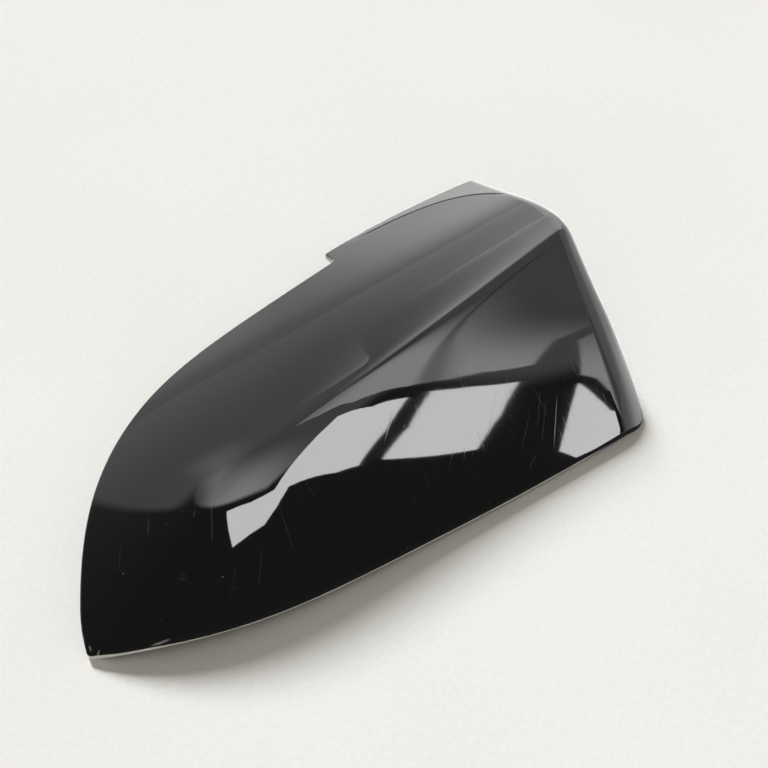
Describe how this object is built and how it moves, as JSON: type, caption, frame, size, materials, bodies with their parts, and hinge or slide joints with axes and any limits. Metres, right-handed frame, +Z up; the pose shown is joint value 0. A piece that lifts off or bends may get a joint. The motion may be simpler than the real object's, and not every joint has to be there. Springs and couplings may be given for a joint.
{
  "type": "wing mirror cover",
  "caption": "Gloss black shell cover for a car's wing mirror, with a crease that fades into a rounded nose, an open underside and an arm opening.",
  "frame": {"origin": "middle of the outline, on the surface that the cover rests on", "axes": "+X from the pointed nose to the arm end, +Y from the near edge to the far edge, +Z up from the open side to the painted face"},
  "size_m": [0.2488, 0.147, 0.0535],
  "materials": {
    "cover": "gloss black paint outside, raw black plastic inside"
  },
  "bodies": {
    "root": {"mirror_cover": "cover"}
  },
  "joints": []
}
